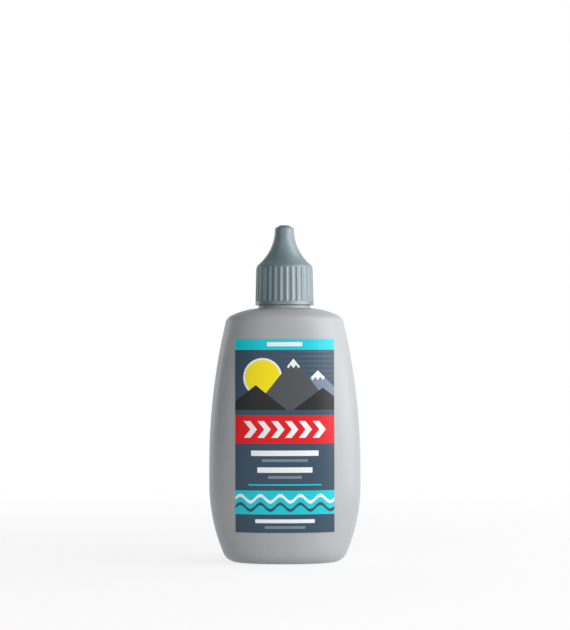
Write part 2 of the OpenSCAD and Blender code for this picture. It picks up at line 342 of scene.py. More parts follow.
@dataclass
class BottleShape:
    """Sizes of the blown bottle, with the methods that work out its skin and mesh."""

    width: float
    depth: float
    rim_height: float
    shoulder_height: float = 95.45
    waist_low: float = 29.0
    waist_high: float = 36.0
    lower_side_radius: float = 66.5
    upper_side_radius: float = 236.0
    base_corner_radius: float = 5.2
    shoulder_radius: float = 27.8
    shoulder_corner_radius: float = 4.0
    section_power: float = 2.3
    wall: float = 1.2
    foot_width: float = 2.0
    push_up: float = 1.4
    neck_radius: float = 8.3
    neck_wall: float = 1.5
    collar_step: float = 1.5
    collar_height: float = 1.0
    dome_inset: float = 0.4
    dome_fall: float = 1.25
    columns: int = 168
    recess_rows: int = 14
    collar_fillet: float = 0.25
    seam_height: float = 0.09
    seam_width: float = 0.16
    pinch_height: float = 0.35
    pinch_width: float = 0.45
    thread_rise: float = 3.75

    def __post_init__(self) -> None:
        """Works out the thread's start and the centres of the arcs that make the outline."""
        self.thread = Thread(start=self.shoulder_height + self.collar_height + self.thread_rise)
        half = self.width / 2
        self.shoulder_flat = self.neck_radius - self.dome_inset
        self.lower_centre = (half - self.lower_side_radius, self.waist_low)
        self.upper_centre = (half - self.upper_side_radius, self.waist_high)
        self.dome_centre = (self.shoulder_flat, self.shoulder_height - self.shoulder_radius)
        reach = self.lower_side_radius - self.base_corner_radius
        rise = self.waist_low - self.base_corner_radius
        self.base_corner = (self.lower_centre[0] + math.sqrt(reach**2 - rise**2), self.base_corner_radius)
        self.shoulder_corner = self.crossing(
            self.dome_centre,
            self.shoulder_radius - self.shoulder_corner_radius,
            self.upper_centre,
            self.upper_side_radius - self.shoulder_corner_radius,
        )
        self.side_end = bearing(self.upper_centre, self.shoulder_corner)
        side_reach = self.upper_side_radius * math.cos(math.radians(self.side_end))
        self.shoulder_start = self.upper_centre[0] + side_reach

    @staticmethod
    def crossing(
        first: tuple[float, float], first_radius: float, second: tuple[float, float], second_radius: float
    ) -> tuple[float, float]:
        """The upper crossing of two circles, of which the second lies to the left.

        The line between the centres is cut at the length that leaves equal powers, and the crossing lies
        square off it by what is left of the first radius.

        Args:
            first: Centre of the first circle.
            first_radius: Its radius.
            second: Centre of the second circle.
            second_radius: Its radius.

        Returns:
            The crossing.
        """
        gap = np.subtract(second, first)
        distance = float(np.linalg.norm(gap))
        along = (first_radius**2 - second_radius**2 + distance**2) / (2 * distance)
        across = math.sqrt(first_radius**2 - along**2)
        unit = gap / distance
        point = np.array(first) + along * unit + across * np.array((unit[1], -unit[0]))
        return float(point[0]), float(point[1])

    def outline(self, inset: float) -> np.ndarray:
        """Right half of the front outline, from foot to neck, as arcs that touch each other.

        Args:
            inset: How far the outline is drawn in.

        Returns:
            Half-width and height of each row.
        """
        corner_end = bearing(self.lower_centre, self.base_corner)
        dome_start = bearing(self.dome_centre, self.shoulder_corner)
        shoulder_corner_radius = self.shoulder_corner_radius - inset
        return np.vstack(
            (
                arc(self.base_corner, self.base_corner_radius - inset, -90, corner_end, 12),
                arc(self.lower_centre, self.lower_side_radius - inset, corner_end, 0, 18)[1:],
                arc(self.upper_centre, self.upper_side_radius - inset, 0, self.side_end, 26),
                arc(self.shoulder_corner, shoulder_corner_radius, self.side_end, dome_start, 14)[1:],
                arc(self.dome_centre, self.shoulder_radius - inset, dome_start, 90, 14)[1:],
            )
        )

    def drawn_in(self, half_width: np.ndarray) -> np.ndarray:
        """How far the shoulder has drawn in at a half-width: 0 at the side and 1 at the neck."""
        span = self.shoulder_start - self.shoulder_flat
        return np.clip((self.shoulder_start - half_width) / span, 0.0, 1.0)

    def section_depth(self, half_width: np.ndarray, height: np.ndarray, inset: float) -> np.ndarray:
        """Half-depth of the section at each row: round at the foot, straight up the front and domed above.

        Args:
            half_width: Half-widths of the rows.
            height: Heights of the rows.
            inset: How far the skin is drawn in.

        Returns:
            The half-depths.
        """
        full = self.depth / 2
        corner = self.base_corner_radius
        low = full - corner + np.sqrt(np.maximum(0, (corner - inset) ** 2 - (corner - height) ** 2))
        share = self.drawn_in(half_width + inset)
        high = full - inset - (full - self.shoulder_flat) * share**self.dome_fall
        upper_start = self.shoulder_corner[1] - self.shoulder_corner_radius
        return np.where(height < corner, low, np.where(height < upper_start, full - inset, high))

    def half_width_at(self, height: np.ndarray) -> np.ndarray:
        """Half-width of the body between the foot's corner and the shoulder's, from the side arcs."""
        low = self.lower_centre[0] + np.sqrt(self.lower_side_radius**2 - (height - self.waist_low) ** 2)
        high = self.upper_centre[0] + np.sqrt(self.upper_side_radius**2 - (height - self.waist_high) ** 2)
        upper = np.where(height > self.waist_high, high, self.width / 2)
        return np.where(height < self.waist_low, low, upper)

    def front_face(self, across: np.ndarray, height: np.ndarray) -> np.ndarray:
        """Depth coordinate of the front: the superellipse of each height solved for y."""
        share = np.abs(across) / self.half_width_at(height)
        return -self.depth / 2 * (1 - share**self.section_power) ** (1 / self.section_power)

    def angles(self) -> np.ndarray:
        """Angles of the columns: even round the section, with a close bunch at each mould seam."""
        even = np.linspace(0.0, 2 * math.pi, self.columns, endpoint=False)
        offsets = np.array((0.5, 1.0, 1.6, 2.4)) * self.seam_width
        close = (offsets / (self.depth / 2)) ** (self.section_power / 2)
        near = np.concatenate((close, -close))
        return np.unique(np.round(np.concatenate((even, near % (2 * math.pi), near + math.pi)), 7))

    def body_rows(self, inset: float) -> np.ndarray:
        """Rows of the body's skin from the middle of the foot's recess to the neck.

        Args:
            inset: How far the skin is drawn in from the outside.

        Returns:
            Half-width, half-depth, section power and height of each row.
        """
        points = self.outline(inset)
        half_width, height = points.T
        depth = self.section_depth(half_width, height, inset)
        power = self.section_power + (2 - self.section_power) * self.drawn_in(half_width + inset)
        body = np.column_stack((half_width, depth, power, height))
        share = np.linspace(0.12, 1.0, self.recess_rows)
        rise = self.push_up * (1 - smooth_step((share - 0.62) / 0.38)) + inset
        foot = (points[0, 0] - self.foot_width, self.depth / 2 - self.base_corner_radius - self.foot_width)
        power_column = np.full(self.recess_rows, self.section_power)
        recess = np.column_stack((share * foot[0], share * foot[1], power_column, rise))
        rim_share = 0.15
        rim_step = ((points[0, 0] - foot[0]) * rim_share, self.foot_width * rim_share, 0, 0)
        return np.vstack((recess, recess[-1] + rim_step, body))

    def neck_rows(self) -> np.ndarray:
        """Rows of the collar, neck, rim and bore, from the shoulder outside to the shoulder inside."""
        collar = self.neck_radius + self.collar_step
        top = self.shoulder_height + self.collar_height
        bore = self.neck_radius - self.neck_wall
        root = self.shoulder_height - self.wall
        dome_drop = (collar - self.shoulder_flat) ** 2 / (2 * self.shoulder_radius)
        dome_z = self.shoulder_height - dome_drop - 0.04
        lower = rounded(
            [
                (collar + 2 * self.collar_fillet, dome_z - 0.02, 0),
                (collar, dome_z, self.collar_fillet),
                (collar, top, 0.16),
                (self.neck_radius, top, 0.25),
                (self.neck_radius, top + 1.0, 0),
            ]
        )
        plain = np.arange(top + 1.2, self.rim_height - 1.2, 0.13)
        neck = np.column_stack((np.full(len(plain), self.neck_radius), plain))
        upper = rounded(
            [
                (self.neck_radius, self.rim_height - 1.0, 0),
                (self.neck_radius, self.rim_height, 0.2),
                (bore, self.rim_height, 0.15),
                (bore, root, 0.6),
                (bore + 0.7, root, 0),
            ]
        )
        profile = np.vstack((lower, neck, upper))
        radius, height = profile.T
        return np.column_stack((radius, radius, np.full(len(radius), 2.0), height))

    def build(self) -> bpy.types.Object:
        """Weaves the bottle as one closed skin, outside and inside, with its mould seam and its thread.

        Each row is a superellipse: x is the half-width times the cosine, and y the half-depth times the sine,
        both raised to two over the section's power. The seam is a low bell-shaped ridge along the middle of
        each side and across the foot.

        Returns:
            The bottle's object.
        """
        outer = self.body_rows(0.0)
        collar = self.neck_radius + self.collar_step
        outer = outer[: 1 + np.max(np.nonzero(np.minimum(outer[:, 0], outer[:, 1]) > collar + 0.7))]
        inner = self.body_rows(self.wall)[::-1]
        neck = self.neck_rows()
        rows = np.vstack((outer, neck, inner))
        half_width, half_depth, power, height = (column[:, None] for column in rows.T)
        angle = self.angles()
        cosine, sine = np.cos(angle), np.sin(angle)
        x = half_width * np.sign(cosine) * np.abs(cosine) ** (2 / power)
        y = half_depth * np.sign(sine) * np.abs(sine) ** (2 / power)
        z = np.broadcast_to(height, x.shape).copy()
        is_neck = np.zeros(len(rows), dtype=bool)
        is_neck[len(outer) : len(outer) + len(neck)] = True
        is_skin = np.arange(len(rows)) < len(outer)
        on_neck = (is_neck & (np.abs(rows[:, 0] - self.neck_radius) < 0.01))[:, None]
        ridge = np.where(on_neck, self.thread.ridge(np.broadcast_to(angle, x.shape), z), 0.0)
        x += ridge * cosine
        y += ridge * sine
        bell = np.exp(-((y / self.seam_width) ** 2))
        seam = np.where((is_skin & (rows[:, 3] > 0.3))[:, None], self.seam_height * bell, 0.0)
        x += seam * np.sign(x)
        under = is_skin & (np.arange(len(rows)) < self.recess_rows)
        pinch = self.pinch_height * np.exp(-((y / self.pinch_width) ** 2))
        z -= np.where(under[:, None], np.minimum(pinch, z * 0.6), 0.0)
        grid = np.stack((x, y, z), axis=-1)
        first = np.array((0.0, 0.0, self.push_up - self.pinch_height))
        last = np.array((0.0, 0.0, self.push_up + self.wall))
        return GridMesh("bottle_shell", grid, first_pole=first, last_pole=last).build()


@dataclass
class NozzleShape:
    """Sizes of the dropper nozzle, with the method that turns its mesh."""

    flange_radius: float
    bottom: float
    top: float
    rim_height: float
    bore_radius: float = 6.8
    plug_play: float = 0.05
    plug_wall: float = 1.0
    flange_thickness: float = 1.0
    spout_foot_radius: float = 4.4
    spout_tip_radius: float = 1.6
    orifice_radius: float = 0.55
    land: float = 1.2
    relief: float = 0.15
    columns: int = 96

    def build(self) -> bpy.types.Object:
        """Turns the nozzle's closed profile: plug, flange, tapered spout, hole and hollow.

        Returns:
            The nozzle's object.
        """
        plug = self.bore_radius - self.plug_play
        inside = plug - self.relief - self.plug_wall
        flange_top = self.rim_height + self.flange_thickness
        spout_wall = self.spout_tip_radius - self.orifice_radius
        corners = [
            (inside, self.bottom + 1.5, 0),
            (inside, self.bottom, 0.12),
            (plug - self.relief, self.bottom, 0.2),
            (plug, self.bottom + 0.35, 0.1),
            (plug, self.bottom + self.land, 0.1),
            (plug - self.relief, self.bottom + self.land + self.relief, 0.1),
            (plug - self.relief, self.rim_height - self.land - self.relief, 0.1),
            (plug, self.rim_height - self.land, 0.1),
            (plug, self.rim_height, 0.05),
            (self.flange_radius, self.rim_height, 0.12),
            (self.flange_radius, flange_top, 0.25),
            (self.spout_foot_radius, flange_top, 0.5),
            (self.spout_tip_radius + 0.12, self.top - 0.9, 0.5),
            (self.spout_tip_radius, self.top, 0.3),
            (self.orifice_radius, self.top, 0.12),
            (self.orifice_radius, self.top - self.land, 0.1),
            (self.spout_foot_radius - spout_wall, flange_top, 0.4),
            (self.spout_foot_radius - spout_wall, self.rim_height, 0.4),
            (inside, self.rim_height - self.land, 0.4),
            (inside, self.bottom + 3.0, 0),
        ]
        angles = np.linspace(0.0, 2 * math.pi, self.columns, endpoint=False)
        grid = turned(rounded(corners), angles)
        return GridMesh("nozzle_spout", grid, close_rows=True).build()


@dataclass
class CapShape:
    """Sizes of the screw cap, with the methods that work out its outside, its inside and its mesh."""

    bottom: float
    top: float
    radius: float
    flange_top: float
    flange_radius: float
    spout_top: float
    thread_start: float
    skirt_height: float = 13.3
    skirt_draft: float = 0.32
    skirt_corner_radius: float = 2.75
    cone_radius: float = 17.3
    tip_radius: float = 3.6
    tip_flat_radius: float = 1.6
    tip_slope_height: float = 1.2
    wall: float = 1.45
    bore_radius: float = 9.22
    rib_count: int = 30
    groove_depth: float = 0.32
    groove_width: float = 1.75
    groove_run: float = 1.35
    groove_edge: float = 0.035
    groove_end: float = 0.2
    turn: float = 3.6
    band_height: float = 1.35
    edge_radius: float = 0.12
    seal_gap: float = 0.15
    ring_width: float = 0.7
    ring_inset: float = 0.2
    ring_height: float = 1.0
    pin_radius: float = 0.45
    rib_stations: tuple[float, ...] = (0.16, 0.33, 0.50, 0.66, 0.78, 0.84, 0.89, 0.96)

    def __post_init__(self) -> None:
        """Works out the thread and the centres of the corner and cone arcs."""
        self.thread = Thread(start=self.thread_start)
        self.skirt_top = self.bottom + self.skirt_height
        self.skirt_corner = (self.radius - self.skirt_draft - self.skirt_corner_radius, self.skirt_top)
        middle = self.tip_radius + self.cone_radius
        reach = self.cone_radius + self.skirt_corner_radius
        cone_rise = math.sqrt(reach**2 - (middle - self.skirt_corner[0]) ** 2)
        self.cone_centre = (middle, self.skirt_top + cone_rise)
        self.cone_start = bearing(self.skirt_corner, self.cone_centre)

    def columns(self) -> np.ndarray:
        """Angles of the columns: each groove's middle, stations on both its flanks, and the rib's middle."""
        pitch = 2 * math.pi / self.rib_count
        reach = np.array(self.rib_stations) / self.radius
        stations = np.concatenate((-reach[::-1], (0.0,), reach, (pitch / 2,)))
        grooves = math.radians(self.turn) + pitch * np.arange(self.rib_count)
        return (grooves[:, None] + stations).ravel()

    def outside(self) -> np.ndarray:
        """Profile of the outside, from the lower edge to the tip: drafted skirt, corner, hollow cone and tip.

        Returns:
            Radius and height of each row.
        """
        slope = self.skirt_draft / self.skirt_height
        low = self.bottom + self.edge_radius
        edge = arc((self.radius - self.edge_radius, low), self.edge_radius, -90, 0, 4)
        band = self.bottom + self.band_height
        heights = np.concatenate(
            (
                np.linspace(low + 0.2, band - 0.15, 3),
                np.linspace(band, band + 1.5 * self.groove_end, 8),
                np.linspace(band + 0.7, self.skirt_top - 0.3, 7),
            )
        )
        skirt = np.column_stack((self.radius - slope * (heights - self.bottom), heights))
        tip = rounded(
            [
                (self.tip_radius, self.cone_centre[1], 0),
                (self.tip_radius, self.top - self.tip_slope_height, 1.0),
                (self.tip_flat_radius, self.top, 0.35),
                (0.1, self.top, 0),
            ],
            steps=6,
        )
        return np.vstack(
            (
                edge,
                skirt,
                arc(self.skirt_corner, self.skirt_corner_radius, 0, self.cone_start, 28),
                arc(self.cone_centre, self.cone_radius, 180 + self.cone_start, 180, 30)[1:-1],
                tip,
            )
        )

    def inside(self) -> np.ndarray:
        """Profile of the inside, from the middle of the sealing pin out and down to the lower edge.

        Returns:
            Radius and height of each row.
        """
        pin_bottom = self.spout_top - self.wall
        ceiling = self.top - 2 * self.wall
        ring_outer = self.flange_radius - self.ring_inset
        ring_inner = ring_outer - self.ring_width
        ring_bottom = self.flange_top + self.seal_gap
        roof = ring_bottom + self.ring_height
        inner_radius = self.cone_radius + self.wall
        ring_turn = math.degrees(math.acos((self.cone_centre[0] - ring_inner + 0.3) / inner_radius))
        ceiling_turn = math.degrees(math.asin((self.cone_centre[1] - ceiling + 0.6) / inner_radius))
        flank = arc(self.cone_centre, inner_radius, 180 + ceiling_turn, 180 + ring_turn, 14)
        tip = rounded(
            [
                (0.05, pin_bottom, 0),
                (self.pin_radius, pin_bottom, 0.25),
                (self.pin_radius, ceiling, 0.25),
                (flank[0][0], ceiling, 0.4),
                (flank[0][0], flank[0][1] + 0.05, 0),
            ],
            steps=3,
        )
        low = rounded(
            [
                (flank[-1][0] + 0.03, flank[-1][1] - 0.03, 0),
                (ring_inner, flank[-1][1] - 0.25, 0.15),
                (ring_inner, ring_bottom, 0.12),
                (ring_outer, ring_bottom, 0.12),
                (ring_outer, roof, 0.15),
                (self.bore_radius, roof, 0.3),
                (self.bore_radius, roof - 1.2, 0),
            ],
            steps=3,
        )
        heights = np.arange(roof - 1.3, self.bottom + 0.5, -0.18)
        bore = np.column_stack((np.full(len(heights), self.bore_radius), heights))
        mouth = rounded(
            [
                (self.bore_radius, self.bottom + 0.45, 0),
                (self.bore_radius, self.bottom + 0.25, 0.05),
                (self.bore_radius + 0.25, self.bottom, 0.05),
                (self.radius - self.edge_radius - 0.1, self.bottom, 0),
            ],
            steps=2,
        )
        return np.vstack((tip, flank, low, bore, mouth))

    def grooved(self, grid: np.ndarray) -> np.ndarray:
        """Cuts the grooves between the ribs into the outside.

        A groove is what a round bar leaves that lies along the skirt at its slope: across the groove the
        cut's radius is the bar's circle, and the surface is the lesser of that and the plain outside, with
        softened edges. Past the lower end of the groove the cut rises over a short length until it leaves
        the surface, and at the upper end the skirt's corner falls away from it.

        Args:
            grid: Points of the plain outside, rows by columns.

        Returns:
            The grid with its radii cut.
        """
        radius = np.hypot(grid[..., 0], grid[..., 1])
        angle = np.arctan2(grid[..., 1], grid[..., 0]) - math.radians(self.turn)
        pitch = 2 * math.pi / self.rib_count
        across = (angle - np.round(angle / pitch) * pitch) * self.radius
        height = grid[..., 2]
        draft = self.skirt_draft * (height - self.bottom) / self.skirt_height
        deepest = self.radius - self.groove_depth - draft
        bar = ((self.groove_width / 2) ** 2 + self.groove_depth**2) / (2 * self.groove_depth)
        cut = deepest + bar - np.sqrt(np.maximum(bar**2 - across**2, 0.0))
        below = (self.bottom + self.band_height + self.groove_end - height) / self.groove_end
        above = (height - self.skirt_top - self.groove_run + self.groove_end) / self.groove_end
        cut = cut + 1.5 * self.groove_depth * np.clip(np.maximum(below, above), 0.0, 3.0) ** 1.5
        shorter = soft_min(radius, cut, self.groove_edge)
        clear = smooth_step((cut - radius) / (0.5 * self.groove_depth))
        shorter = shorter * (1 - clear) + radius * clear
        scale = (shorter / np.maximum(radius, 1e-6))[..., None]
        return grid * np.concatenate((scale, scale, np.ones_like(scale)), axis=-1)

    def build(self) -> bpy.types.Object:
        """Weaves the cap as one closed skin, inside and outside, with its ribs and its inner thread.

        Returns:
            The cap's object.
        """
        angles = self.columns()
        coarse = angles[::2]
        inner = turned(self.inside(), coarse)
        outer = self.grooved(turned(self.outside(), angles))
        angle = np.arctan2(inner[..., 1], inner[..., 0]) % (2 * math.pi)
        on_bore = np.abs(np.hypot(inner[..., 0], inner[..., 1]) - self.bore_radius) < 0.005
        ridge = np.where(on_bore, self.thread.ridge(angle, inner[..., 2]), 0.0)
        inner[..., 0] -= ridge * np.cos(angle)
        inner[..., 1] -= ridge * np.sin(angle)
        first = np.array((0.0, 0.0, self.spout_top - self.wall))
        last = np.array((0.0, 0.0, self.top))
        return GridMesh("cap_shell", inner, second=outer, first_pole=first, last_pole=last).build()


@dataclass
class LabelShape:
    """Sizes of the film label, with the method that lays it on the bottle's front."""

    bottle: BottleShape
    width: float
    low: float
    high: float
    thickness: float = 0.12
    glue: float = 0.05
    corner_radius: float = 0.1
    columns: int = 64
    rows: int = 120

    def build(self) -> bpy.types.Object:
        """Lays the film on the bottle: a sheet that follows the front face, thin and closed all round.

        A point of the sheet has its place across and up, and its depth is the bottle's front face there
        less the glue or the glue and the film. Near a corner the row's half-width is shortened by a
        quarter circle.

        Returns:
            The label's object.
        """
        radius = self.corner_radius
        ends = radius * (1 - np.cos(np.linspace(0, math.pi / 2, 6)))
        middle = np.linspace(self.low + radius, self.high - radius, self.rows)[1:-1]
        height = np.concatenate((self.low + ends, middle, self.high - ends[::-1]))
        from_end = np.minimum(height - self.low, self.high - height)
        short = np.clip(radius - from_end, 0, radius)
        half = self.width / 2 - (radius - np.sqrt(np.maximum(radius**2 - short**2, 0)))
        share = np.linspace(-1, 1, self.columns)
        across = half[:, None] * share
        up = np.broadcast_to(height[:, None], across.shape)
        face = self.bottle.front_face(across, up)
        front = np.stack((across, face - self.glue - self.thickness, up), axis=-1)
        back = np.stack((across, face - self.glue, up), axis=-1)[:, ::-1]
        grid = np.concatenate((front, back), axis=1)
        u = (grid[..., 0] + self.width / 2) / self.width
        v = (grid[..., 2] - self.low) / (self.high - self.low)
        return GridMesh("label_film", grid, zip_ends=True, uv=np.stack((u, v), axis=-1)).build(sharp_angle=40)


class Wire:
    """A value in a node tree. Operators on wires and numbers add the Math nodes for them."""

    def __init__(self, nodes: "Nodes", socket: bpy.types.NodeSocket) -> None:
        """Keeps the nodes that the value belongs to and its socket."""
        self.nodes = nodes
        self.socket = socket

    def math(self, operation: str, *others: "Wire | float") -> "Wire":
        """Returns the result of a Math node whose first value is this one."""
        return self.nodes.math(operation, self, *others)

    def __add__(self, other: "Wire | float") -> "Wire":
        """Returns the sum."""
        return self.math("ADD", other)

    def __sub__(self, other: "Wire | float") -> "Wire":
        """Returns this less the other."""
        return self.math("SUBTRACT", other)

    def __rsub__(self, other: "Wire | float") -> "Wire":
        """Returns the other less this."""
        return self.nodes.math("SUBTRACT", other, self)

    def __mul__(self, other: "Wire | float") -> "Wire":
        """Returns the product."""
        return self.math("MULTIPLY", other)

    def __truediv__(self, other: "Wire | float") -> "Wire":
        """Returns this over the other."""
        return self.math("DIVIDE", other)

    def __abs__(self) -> "Wire":
        """Returns the size of the value."""
        return self.math("ABSOLUTE")

    def most(self, other: "Wire | float") -> "Wire":
        """Returns the greater of this and the other."""
        return self.math("MAXIMUM", other)

    def held(self) -> "Wire":
        """Returns this held between 0 and 1."""
        return self.math("MAXIMUM", 0.0).math("MINIMUM", 1.0)

    def root(self) -> "Wire":
        """Returns the square root."""
        return self.math("SQRT")


class Nodes:
    """A node tree under construction, with one method that adds any node."""

    def __init__(self, owner: bpy.types.Material | bpy.types.World) -> None:
        """Starts with the owner's empty node tree."""
        owner.use_nodes = True
        self.tree = owner.node_tree
        self.tree.nodes.clear()

    def node(self, kind: str, settings: dict | None = None, inputs: dict | None = None) -> bpy.types.Node:
        """Adds a node, sets its settings and then its sockets.

        Args:
            kind: Type of the node without its leading ShaderNode.
            settings: Properties of the node by name.
            inputs: Values, wires or sockets by input name or number.

        Returns:
            The node.
        """
        node = self.tree.nodes.new("ShaderNode" + kind)
        for key, value in (settings or {}).items():
            setattr(node, key, value)
        for key, value in (inputs or {}).items():
            self.feed(node.inputs[key], value)
        return node

    def feed(self, socket: bpy.types.NodeSocket, value: object) -> None:
        """Links a wire or socket into an input, or sets the input's own value."""
        if isinstance(value, Wire):
            value = value.socket
        if isinstance(value, bpy.types.NodeSocket):
            self.tree.links.new(value, socket)
        else:
            socket.default_value = value

    def math(self, operation: str, *values: "Wire | float") -> Wire:
        """Returns the result of a Math node on the values."""
        node = self.node("Math", {"operation": operation}, dict(enumerate(values)))
        return Wire(self, node.outputs[0])

    def seen(self) -> Wire:
        """Returns 1 for rays from the camera, off gloss or through clear pieces, and 0 for other rays."""
        rays = self.node("LightPath").outputs
        camera = Wire(self, rays["Is Camera Ray"])
        gloss = Wire(self, rays["Is Glossy Ray"])
        clear = Wire(self, rays["Is Transmission Ray"])
        return (camera + gloss + clear).held()

    def mixed(
        self, share: Wire, first: bpy.types.NodeSocket, second: bpy.types.NodeSocket
    ) -> bpy.types.NodeSocket:
        """Mixes two surface or world shaders.

        Args:
            share: Share of the second shader.
            first: Output of the first shader.
            second: Output of the second shader.

        Returns:
            The mixed shader's socket.
        """
        return self.node("MixShader", inputs={0: share, 1: first, 2: second}).outputs[0]


class Shader(Nodes):
    """A material under construction."""

    def __init__(self, name: str) -> None:
        """Starts a material with its output and its main surface shader."""
        self.material = bpy.data.materials.new(name)
        super().__init__(self.material)
        self.output = self.node("OutputMaterial")
        self.surface = self.node("BsdfPrincipled")
        self.feed(self.output.inputs["Surface"], self.surface.outputs["BSDF"])

    def object_axes(self) -> tuple[Wire, Wire, Wire]:
        """Returns the point's own coordinates in millimetres."""
        place = self.node("TexCoord").outputs["Object"]
        split = self.node("SeparateXYZ", inputs={0: place})
        return tuple(Wire(self, out) * (1 / MM) for out in split.outputs)

    def noise(self, scale: tuple[float, float, float], detail: float = 2.0, seed: float = 0.0) -> Wire:
        """Even noise about a half, whose grains are the given sizes.

        Args:
            scale: Grains per millimetre along X, Y and Z.
            detail: How many finer layers it has.
            seed: Shift that sets one noise apart from another.

        Returns:
            The noise.
        """
        place = self.node("TexCoord").outputs["Object"]
        per_metre = tuple(s / MM for s in scale)
        moved = self.node("Mapping", inputs={"Vector": place, "Scale": per_metre, "Location": (seed,) * 3})
        noise = self.node("TexNoise", inputs={"Vector": moved.outputs[0], "Scale": 1.0, "Detail": detail})
        return Wire(self, noise.outputs["Fac"])

    def blend(self, share: "Wire | float", first: object, second: object) -> bpy.types.NodeSocket:
        """Mixes two colours.

        Args:
            share: Share of the second colour.
            first: Colour or socket.
            second: Colour or socket.

        Returns:
            The mixed colour's socket.
        """
        node = self.node("Mix", {"data_type": "RGBA", "clamp_factor": True}, {0: share, 6: first, 7: second})
        return node.outputs[2]

    def bump(self, height: Wire, depth: float) -> bpy.types.NodeSocket:
        """Returns the normal of a surface raised by the height times a depth in millimetres."""
        node = self.node("Bump", inputs={"Strength": 1.0, "Distance": depth * MM, "Height": height})
        return node.outputs[0]

    def set(self, **sockets: object) -> None:
        """Sets or links inputs of the main surface shader, with spaces written as underscores."""
        for key, value in sockets.items():
            self.feed(self.surface.inputs[key.replace("_", " ")], value)


@dataclass(frozen=True)
class SilverPolyethylene:
    """Silver pigmented polyethylene of the blown bottle, with fine grain and faint flow lines."""

    colour: tuple[int, int, int] = (165, 168, 171)
    roughness: float = 0.41
    metallic: float = 0.1
    name: str = "silver_polyethylene"

    def build(self) -> bpy.types.Material:
        """Returns the material."""
        shader = Shader(self.name)
        base = (*screen_to_linear(self.colour), 1.0)
        dark = tuple(c * 0.93 for c in base[:3]) + (1.0,)
        pale = tuple(c * 1.06 for c in base[:3]) + (1.0,)
        flow = shader.noise((0.16, 0.16, 0.022), detail=3.0)
        fleck = shader.noise((7.0, 7.0, 7.0), detail=1.0, seed=3.1)
        tone = ((flow - 0.5) * 1.1 + (fleck - 0.5) * 0.5 + 0.5).held()
        shader.set(Base_Color=shader.blend(tone, dark, pale))
        shader.set(Roughness=(fleck - 0.5) * 0.12 + self.roughness)
        grain = shader.noise((2.6, 2.6, 2.6), detail=2.0, seed=7.7)
        ripple = shader.noise((0.10, 0.10, 0.06), detail=1.0, seed=1.3)
        shader.set(Normal=shader.bump(grain * 0.25 + ripple * 1.5, 0.05))
        shader.set(Metallic=self.metallic, IOR=1.5)
        return shader.material


@dataclass(frozen=True)
class NaturalPolyethylene:
    """Undyed soft polyethylene of the nozzle, milky and slightly waxy."""

    colour: tuple[int, int, int] = (226, 229, 226)
    least_roughness: float = 0.34
    scatter_reach: float = 1.2
    name: str = "natural_polyethylene"

    def build(self) -> bpy.types.Material:
        """Returns the material."""
        shader = Shader(self.name)
        base = (*screen_to_linear(self.colour), 1.0)
        dark = tuple(c * 0.9 for c in base[:3]) + (1.0,)
        cloud = shader.noise((0.35, 0.35, 0.2), detail=2.0)
        shader.set(Base_Color=shader.blend((cloud * 1.6 - 0.3).held(), dark, base))
        shader.set(Roughness=cloud * 0.12 + self.least_roughness)
        shader.set(Normal=shader.bump(shader.noise((3.0, 3.0, 3.0), seed=2.0), 0.02))
        shader.set(Subsurface_Weight=0.25, Subsurface_Radius=(1.0, 1.0, 0.9))
        shader.set(Subsurface_Scale=self.scatter_reach * MM)
        return shader.material


@dataclass(frozen=True)
class GreyPolypropylene:
    """Grey-green moulded polypropylene of the cap, satin with a fine moulded grain."""

    colour: tuple[int, int, int] = (81, 108, 115)
    roughness: float = 0.38
    gloss: float = 1.6
    name: str = "grey_polypropylene"

    def build(self) -> bpy.types.Material:
        """Returns the material."""
        shader = Shader(self.name)
        base = (*screen_to_linear(self.colour), 1.0)
        dark = tuple(c * 0.93 for c in base[:3]) + (1.0,)
        pale = tuple(c * 1.05 for c in base[:3]) + (1.0,)
        cloud = shader.noise((0.12, 0.12, 0.05), detail=3.0, seed=5.0)
        grain = shader.noise((4.0, 4.0, 4.0), detail=1.0, seed=8.0)
        tone = ((cloud - 0.5) * 1.2 + (grain - 0.5) * 0.4 + 0.5).held()
        shader.set(Base_Color=shader.blend(tone, dark, pale))
        shader.set(Roughness=(grain - 0.5) * 0.1 + self.roughness)
        shader.set(Normal=shader.bump(grain * 0.5 + cloud, 0.02))
        shader.set(IOR=1.5, Specular_IOR_Level=self.gloss)
        return shader.material


